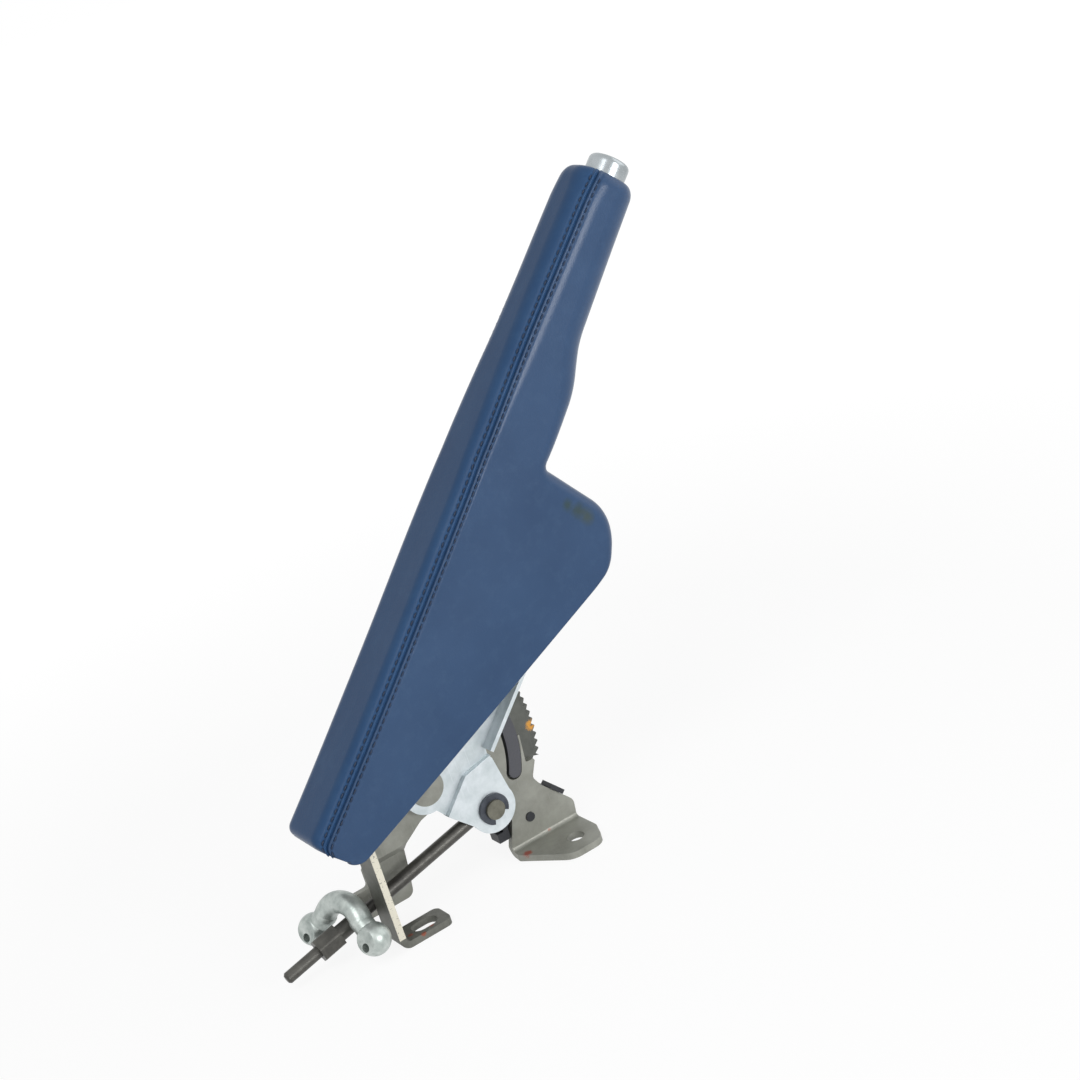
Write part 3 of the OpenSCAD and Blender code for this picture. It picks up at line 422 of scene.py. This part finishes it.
# The same olive plate on the rear strap, painted darker as painted shade; a painted highlight in pale, pitted patches
# on its faces that look to the near side; rust specks on its foot
olive_steel_painted_shade = worked_steel("olive_chromated_steel_painted_shade", "#74756e", "#595a54", 0.35, 0.46, 14, 0.9, 0.07, dabs=[
    ((-95.0, -7.0, 3.5), 1.6, "#8d4a34"), ((-89.0, -4.0, 3.5), 1.3, "#8d4a34"),
    ((-100.0, -2.0, 3.5), 1.5, "#8d4a34")], near_edge_highlight=("#dcd8c8", 6.0))
# Hardened blanked steel: dark grey, dry, with a dab of inspection paint
blanked = worked_steel("hardened_blanked_steel", "#666863", "#50524e", 0.45, 0.44, 10, 0.7, 0.08, dabs=[
    ((5.0, 20.5, 59.0), 3.0, "#d99a3c")])
# Cold-drawn rod and nut, blackened and oiled: dark with bright scratches
oiled_steel = worked_steel("blackened_oiled_steel", "#5b5a55", "#403f3c", 0.45, 0.4, 7, 0.6, 0.1)
# Turned pins, brown-grey with use
pin_steel = worked_steel("turned_pin_steel", "#77766a", "#5c5b51", 0.45, 0.42, 5, 0.6, 0.05)
# Forged saddle with bright zinc over a rough skin: mottled
forged_zinc = worked_steel("zinc_plated_forging", "#cdd4d0", "#98a29e", 0.6, 0.34, 6, 1.6, 0.16)
# Phosphated spring wire and clips: slate grey, satin
spring_steel = worked_steel("phosphated_spring_steel", "#4c5159", "#363a42", 0.45, 0.42, 5, 0.5, 0.05)
# Turned and satin-plated button: even, bright
satin_plate = worked_steel("satin_plated_button", "#b4babd", "#9aa1a4", 0.9, 0.24, 12, 0.5, 0.02)
# Stamped brass blades: warm yellow, slightly dull
brass = worked_steel("stamped_brass", "#c2a05c", "#a6864a", 0.8, 0.35, 6, 0.5, 0.04)
# Glass-filled nylon of the core and the liner: dark grey, dry
core_nylon = moulded_plastic("glass_filled_nylon", "#2c2e32", "#3a3c41", 0.6)
# Black nylon of the switch and the collar: near black, faint sheen
black_nylon = moulded_plastic("moulded_black_nylon", "#1b1d21", "#2a2d33", 0.5)
# Acetal of the strip, slate, and of the plunger, natural: smooth, waxy
slate_acetal = moulded_plastic("moulded_slate_acetal", "#45464c", "#515258", 0.5)
natural_acetal = moulded_plastic("natural_acetal", "#ddd9cd", "#cfcabb", 0.45)

NODE_FINISH = {
    olive: ["base_bracket", "sector_rivets", "main_pivot"],
    # rear strap: olive plate painted darker as painted shade, with a painted highlight on its near-facing faces
    olive_steel_painted_shade: ["rear_strap"],
    blanked: ["ratchet_sector", "pawl"],
    slate_acetal: ["guide_strip"],
    zinc: ["lever_arm", "spring_seat"],
    pin_steel: ["pawl_pin", "rod_pin", "push_rod"],
    spring_steel: ["rod_pin_clip", "button_spring"],
    core_nylon: ["skirt_liner", "grip_core", "grip_spacers"],
    black_nylon: ["switch_body", "tip_collar"],
    natural_acetal: ["switch_plunger"],
    brass: ["switch_terminals"],
    satin_plate: ["push_button"],
    oiled_steel: ["pull_rod", "adjuster_nut"],
    forged_zinc: ["equaliser", "cable_ends"],
    # top panel: leather with painted light in its lighter, bluer colours
    top_panel_leather_painted_tone: ["leather_top"],
    leather: ["leather_side_near", "leather_side_far", "leather_underside"],
}
for finish, names in NODE_FINISH.items():
    for name in names:
        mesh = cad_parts[name].data
        mesh.materials.clear()
        mesh.materials.append(finish)


def camera_from_photo():
    """Camera at the photograph's viewing angle, turned about its own axis by the roll."""
    azimuth, elevation, roll = (math.radians(a) for a in (-26.5, 19.8, -17.46))
    level = math.cos(elevation)
    back = np.array([math.sin(azimuth) * level, -math.cos(azimuth) * level, math.sin(elevation)])
    right = np.array([math.cos(azimuth), math.sin(azimuth), 0.0])
    up = np.cross(back, right)
    matrix = np.eye(4)
    matrix[:3, 0] = right * math.cos(roll) + up * math.sin(roll)
    matrix[:3, 1] = up * math.cos(roll) - right * math.sin(roll)
    matrix[:3, 2], matrix[:3, 3] = back, np.array([-423.75, -910.9, 520.2]) * MM
    data = bpy.data.cameras.new("camera")
    data.lens, data.sensor_width, data.clip_start = 75.0, 36.0, 0.01
    camera = bpy.data.objects.new("camera", data)
    camera.matrix_world = Matrix(matrix.tolist())
    bpy.context.collection.objects.link(camera)
    bpy.context.scene.camera = camera


camera_from_photo()


def seam_dip(d):
    """Height of the leather at a distance d from a seam: drawn in to the seam, full beside it where the turned edge
    lies underneath, and drawn in again by the row of stitches; each one is a bell curve."""
    return (-0.9 * np.exp(-(d / 0.5) ** 2) + 0.4 * np.exp(-((d - 1.2) / 0.6) ** 2)
            - 0.4 * np.exp(-((d - STITCH_ROW - 0.1) / 0.6) ** 2))


def sway(points):
    """Slow unevenness of stretched leather, a tenth of a millimetre high, from waves across and along the handle."""
    u, y, n = np.moveaxis(points, -1, 0)
    return 0.06 * (np.sin(u / 13 + n / 9) + np.sin(u / 29 - n / 17 + y / 8))


def side_columns(rows):
    """One side of the handle from its seam over the corner, down the side, round the lower edge and under: points
    and normals in lever coordinates, and the height of the leather above them, crowned by a half sine down the
    side."""
    x = np.linspace(0, 1, CORNER_COLUMNS) ** 1.25
    angle = rows.column("seam") + (np.pi / 2 - rows.column("seam")) * x
    down, edge, across = (np.linspace(0, 1, count + 1)[1:] for count in (DOWN_COLUMNS, EDGE_COLUMNS, UNDER_COLUMNS))
    end = np.where(rows.open, rows.half - rows.lower - HEM_WRAP, 0)
    parts = [rows.upper_corner(angle), rows.side(down), rows.fillet(edge), rows.under(across, end)]
    points, normals = (np.concatenate(p, axis=1) for p in zip(*parts))
    lift = np.zeros(points.shape[:2])
    lift[:, :CORNER_COLUMNS] = seam_dip((angle - rows.column("seam")) * rows.column("upper"))
    crown = SIDE_CROWN * np.sin(np.pi * down) ** 2 * smooth_step(rows.column("u"), *CROWN_SPAN)
    lift[:, CORNER_COLUMNS:CORNER_COLUMNS + DOWN_COLUMNS] = crown
    return points, normals, lift + sway(points)


def top_columns(rows):
    """The top panel from seam to seam, over its flat and both upper corners: points, normals and heights as for a
    side."""
    x = 1 - np.linspace(1, 0, TOP_CORNER_COLUMNS) ** 1.4
    angle = rows.column("seam") * x
    corner, corner_normal = rows.upper_corner(angle)
    flat = np.linspace(0, 1, FLAT_COLUMNS + 1)[:-1] * (rows.column("half") - rows.column("upper"))
    middle = np.stack([*np.broadcast_arrays(rows.column("u"), flat, rows.column("top"))], axis=-1)
    up = np.broadcast_to([0.0, 0.0, 1.0], middle.shape)
    points, normals = np.concatenate([middle, corner], axis=1), np.concatenate([up, corner_normal], axis=1)
    dip = seam_dip((rows.column("seam") - angle) * rows.column("upper"))
    lift = np.concatenate([np.zeros_like(flat), dip], axis=1) + sway(points)
    mirror = np.array([1, -1, 1])
    return (np.concatenate([points[:, :0:-1] * mirror, points], axis=1),
            np.concatenate([normals[:, :0:-1] * mirror, normals], axis=1),
            np.concatenate([lift[:, :0:-1], lift], axis=1))


def surface(points, normals, lift):
    """Lever coordinates raised by lift along the normals, in the row frame."""
    return points_to_frame(points + normals * lift[..., None])


cover_rows = HandleRows(rear_roll=REAR_ROLL, tip_roll=TIP_ROLL)


def leather_covers():
    """Top panel and two side panels: grids over the handle's rows, thickened inwards."""
    top = surface(*top_columns(cover_rows))
    faces = grid_faces(*top.shape[:2])
    # The top panel's leather carries painted light: lighter, bluer colours for how light falls on the top
    piece = add_piece("cover_top_panel", top, faces, top_panel_leather_painted_tone, "lever", ["leather_top"], LEATHER_T)
    points, normals, lift = side_columns(cover_rows)
    for name, side, node in (("near", -1, "leather_side_near"), ("far", 1, "leather_side_far")):
        mirror = np.array([1, side, 1])
        grid = surface(points * mirror, normals * mirror, lift)
        faces = grid_faces(*grid.shape[:2])[:, ::side]
        piece = add_piece(f"cover_side_{name}", grid, faces, leather, "lever", [node], LEATHER_T)


leather_covers()


def underside_strap():
    """Narrow strip over the joint of the two side panels, along the closed part of the underside: an arched section
    carried along the line of the underside."""
    rows = np.flatnonzero((cover_rows.u > HEM_END + 0.5) & (cover_rows.u < HANDLE_FRONT - 4))
    across = np.linspace(-1, 1, 17)
    height = 0.75 - 1.1 * np.abs(across) ** 6
    line, normal = cover_rows.line[rows], cover_rows.normal[rows]
    at = line[:, None] - normal[:, None] * height[None, :, None]
    grid = to_frame(at[..., 0], across[None, :] * STRAP_HALF, at[..., 1])
    faces = grid_faces(*grid.shape[:2])[:, ::-1]
    piece = add_piece("cover_underside", grid, faces, leather, "lever", ["leather_underside"], STRAP_T)


underside_strap()


def stitch_rows():
    """Twin rows of stitches along each seam: each stitch is a short tube that rises out of the leather and dips back
    into it, by a half sine along its length, with six sides and closed ends."""
    rings, sides = np.linspace(0, 1, 7), np.arange(6) * np.pi / 3
    arch = np.sin(np.pi * rings)
    radius = STITCH_R * np.sqrt(np.maximum(arch, 0.15))[:, None, None]
    tubes = []
    for side in (-1, 1):
        for row in (-STITCH_ROW, STITCH_ROW):
            point, normal = cover_rows.upper_corner((cover_rows.seam + row / cover_rows.upper)[:, None])
            keep = (cover_rows.u > STITCH_FROM - 1.5) & (cover_rows.u < STITCH_TO + 2)
            point, normal = point[keep, 0] * [1, side, 1], normal[keep, 0] * [1, side, 1]
            run = run_along(point)
            centre = np.arange(STITCH_L, run[-1] - STITCH_L, STITCH_PITCH)
            at = centre[:, None] + (rings - 0.5) * STITCH_L
            p, up = (np.stack([np.interp(at, run, a[:, k]) for k in range(3)], axis=-1) for a in (point, normal))
            along = np.gradient(p, axis=1)
            along /= np.linalg.norm(along, axis=-1, keepdims=True)
            cross = np.cross(along, up)
            p = p + up * (0.3 * arch - 0.24)[:, None]
            spoke = up[:, :, None] * np.cos(sides)[:, None] + cross[:, :, None] * np.sin(sides)[:, None]
            tubes.append(p[:, :, None] + radius * spoke)
    tubes = np.concatenate(tubes)
    count, ring_n, side_n = tubes.shape[:3]
    quads = tube_faces(ring_n, side_n)[:, ::-1]
    caps = np.stack([np.arange(side_n)[::-1], (ring_n - 1) * side_n + np.arange(side_n)])
    start = (np.arange(count) * ring_n * side_n)[:, None, None]
    faces = [*(start + quads).reshape(-1, 4), *(start + caps).reshape(-1, side_n)]
    add_piece("cover_stitching", points_to_frame(tubes), faces, thread, "lever")


stitch_rows()


def both_sides(half):
    """Grid in the row frame from one half in lever coordinates and its mirror image across the lever."""
    return points_to_frame(np.concatenate([half[:, ::-1] * [1, -1, 1], half], axis=1))


def liner_shell():
    """Stiff liner inside the open part of the skirt: the handle's section drawn in, from one lower edge over the top
    to the other, thickened inwards."""
    rows = HandleRows(inset=LINER_INSET, step=3.0)
    corner = rows.upper_corner(np.linspace(0, np.pi / 2, 8)[None, :] + 0 * rows.column("u"))[0]
    down = rows.side(np.linspace(0, 1, 8)[1:])[0]
    half = np.concatenate([corner, down], axis=1)[(rows.u > HANDLE_REAR + 1.4) & rows.open]
    grid = both_sides(half)
    faces = grid_faces(*grid.shape[:2])
    add_piece("liner_shell", grid, faces, core_nylon, "lever", ["skirt_liner"], LINER_T)


liner_shell()


def core_shell():
    """Moulded core of the lobe and grip under the leather: the whole section drawn in, closed round underneath."""
    rows = HandleRows(inset=LINER_INSET, step=2.4)
    corner = rows.upper_corner(np.linspace(0, np.pi / 2, 10)[None, :] + 0 * rows.column("u"))[0]
    parts = [corner, rows.side(np.linspace(0, 1, 8)[1:])[0], rows.fillet(np.linspace(0, 1, 9)[1:])[0],
             rows.under(np.linspace(0, 1, 4)[1:], np.zeros_like(rows.u))[0]]
    half = np.concatenate(parts, axis=1)[(rows.u > HEM_END + 1) & (rows.u < HANDLE_FRONT - 6)]
    grid = both_sides(half)
    faces = grid_faces(*grid.shape[:2])
    add_piece("core_shell", grid, faces, core_nylon, "lever", ["grip_core"], CORE_T)


core_shell()


def button_cap():
    """Push button: a profile turned about its axis, with a flange inside the grip and a rounded, slightly domed
    end."""
    turn = np.linspace(0, np.pi / 2, 9)
    dome = np.linspace(1, 0, 6)[1:]
    flat_r = BUTTON_R - BUTTON_CROWN
    flange_back = BUTTON_SHOULDER - 0.2
    profile = np.array([
        (BUTTON_START, 0.0), (BUTTON_START, BUTTON_FLANGE_R - BUTTON_BREAK),
        (BUTTON_START + BUTTON_BREAK, BUTTON_FLANGE_R), (flange_back - BUTTON_BREAK, BUTTON_FLANGE_R),
        (flange_back, BUTTON_FLANGE_R - BUTTON_BREAK), (flange_back, BUTTON_R),
        (BUTTON_SHOULDER + BUTTON_BREAK, BUTTON_R), (BUTTON_END - BUTTON_CROWN - 1, BUTTON_R),
        *zip(BUTTON_END - BUTTON_DOME - BUTTON_CROWN * (1 - np.sin(turn)), flat_r + BUTTON_CROWN * np.cos(turn)),
        *zip(BUTTON_END - BUTTON_DOME * dome ** 2, flat_r * dome)])
    angle = np.linspace(0, 2 * np.pi, 73)[:-1]
    body = profile[1:-1]
    u, r = body[:, :1], body[:, 1:]
    rings = to_frame(u + 0 * angle, r * np.sin(angle), BUTTON_AXIS + r * np.cos(angle)).reshape(-1, 3)
    poles = to_frame(profile[[0, -1], 0], np.zeros(2), np.full(2, BUTTON_AXIS))
    count, last, pole = len(angle), (len(body) - 1) * len(angle), len(rings)
    j = np.arange(count)
    k = (j + 1) % count
    ends = [(a, b, pole) for a, b in zip(j, k)] + [(last + b, last + a, pole + 1) for a, b in zip(j, k)]
    faces = [*tube_faces(len(body), count), *ends]
    vertices = np.concatenate([rings, poles])
    add_piece("button_cap", vertices, faces, satin_plate, "button", ["push_button"])


button_cap()


def button_coil():
    """Return spring of the button: a round wire carried along a helix, with closed ends."""
    steps, sides = 28 * SPRING_TURNS, 10
    share = np.linspace(0, 1, steps + 1)[:, None]
    turn, ring = 2 * np.pi * SPRING_TURNS * share, np.arange(sides) * 2 * np.pi / sides
    r = SPRING_R + WIRE_R * np.cos(ring)
    u = SPRING_START + (SPRING_END - SPRING_START) * share + WIRE_R * np.sin(ring)
    grid = to_frame(u, SPRING_Y + r * np.cos(turn), BUTTON_AXIS + r * np.sin(turn))
    first, last = np.arange(sides), (steps * sides + np.arange(sides))[::-1]
    faces = [*tube_faces(steps + 1, sides), first, last]
    piece = add_piece("button_coil", grid, faces, spring_steel, "lever", ["button_spring"])
    anchor = to_frame(SPRING_START - WIRE_R, SPRING_Y, BUTTON_AXIS).tolist()
    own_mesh(piece)


button_coil()


def shown_rays(tree):
    """Socket that is 1 for camera, glossy and transmitted rays, and 0 for the others."""
    path = tree.nodes.new("ShaderNodeLightPath").outputs
    two = add_node(tree, "ShaderNodeMath", {0: path["Is Camera Ray"], 1: path["Is Glossy Ray"]}, operation="ADD")
    return add_node(tree, "ShaderNodeMath", {
        0: two.outputs[0], 1: path["Is Transmission Ray"]}, operation="ADD", use_clamp=True).outputs[0]


def pale_floor():
    """Large floor just under the feet: white to camera, glossy and transmitted rays, dimmed near the object where
    it shades the paper."""
    edge, gap = 6.0, 0.0004
    height = CAD_BOX[0][2] - gap
    corners = [(-edge, -edge, height), (edge, -edge, height), (edge, edge, height), (-edge, edge, height)]
    mesh = bpy.data.meshes.new("floor")
    mesh.from_pydata(corners, [], [(0, 1, 2, 3)])
    material, tree, at = new_material("matt_white_paper")
    away = add_node(tree, "ShaderNodeVectorMath", {0: at["Object"], 1: (0, 0, 0)}, operation="DISTANCE")
    plain = add_node(tree, "ShaderNodeMapRange", {
        "Value": away.outputs["Value"], "From Min": 0.3, "From Max": 0.8, "To Min": 0.86})
    share = add_node(tree, "ShaderNodeMath", {0: shown_rays(tree), 1: plain.outputs["Result"]}, operation="MULTIPLY")
    paper = add_node(tree, "ShaderNodeBsdfDiffuse", {"Color": srgb("#f4f4f4")})
    glow = add_node(tree, "ShaderNodeEmission", {"Color": (1, 1, 1, 1), "Strength": 1.03})
    close_material(tree, add_node(tree, "ShaderNodeMixShader", {
        0: share.outputs[0], 1: paper.outputs[0], 2: glow.outputs[0]}))
    mesh.materials.append(material)
    floor = bpy.data.objects.new("floor", mesh)
    bpy.context.collection.objects.link(floor)


pale_floor()


def soft_lamp(name, place, target, size, power):
    """Square area lamp at a place, turned to face the target."""
    data = bpy.data.lights.new(name, "AREA")
    data.shape, data.size, data.energy = "SQUARE", size, power
    lamp = bpy.data.objects.new(name, data)
    lamp.location = place
    lamp.rotation_euler = (Vector(target) - Vector(place)).to_track_quat("-Z", "Y").to_euler()
    bpy.context.collection.objects.link(lamp)


soft_lamp("key_lamp", (0.4, -1.6, 0.4), (0, 0, 0.2), 0.6, 12.0)
soft_lamp("fill_lamp", (1.3, -0.5, 0.8), (0, 0, 0.15), 1.2, 4.0)
soft_lamp("left_lamp", (-1.0, -0.75, 1.3), (0, 0, 0.15), 0.9, 9.0)


def white_studio():
    """Soft white surround: plain light on the object, pure white to camera, glossy and transmitted rays."""
    world = bpy.data.worlds.new("studio")
    bpy.context.scene.world = world
    world.use_nodes = True
    tree = world.node_tree
    tree.nodes.clear()
    light = add_node(tree, "ShaderNodeBackground", {"Color": (1, 1, 1, 1), "Strength": 0.36})
    white = add_node(tree, "ShaderNodeBackground", {"Color": (1, 1, 1, 1), "Strength": 1.0})
    mix = add_node(tree, "ShaderNodeMixShader", {0: shown_rays(tree), 1: light.outputs[0], 2: white.outputs[0]})
    tree.links.new(mix.outputs[0], tree.nodes.new("ShaderNodeOutputWorld").inputs[0])


white_studio()
bpy.context.scene.view_settings.view_transform = "Standard"
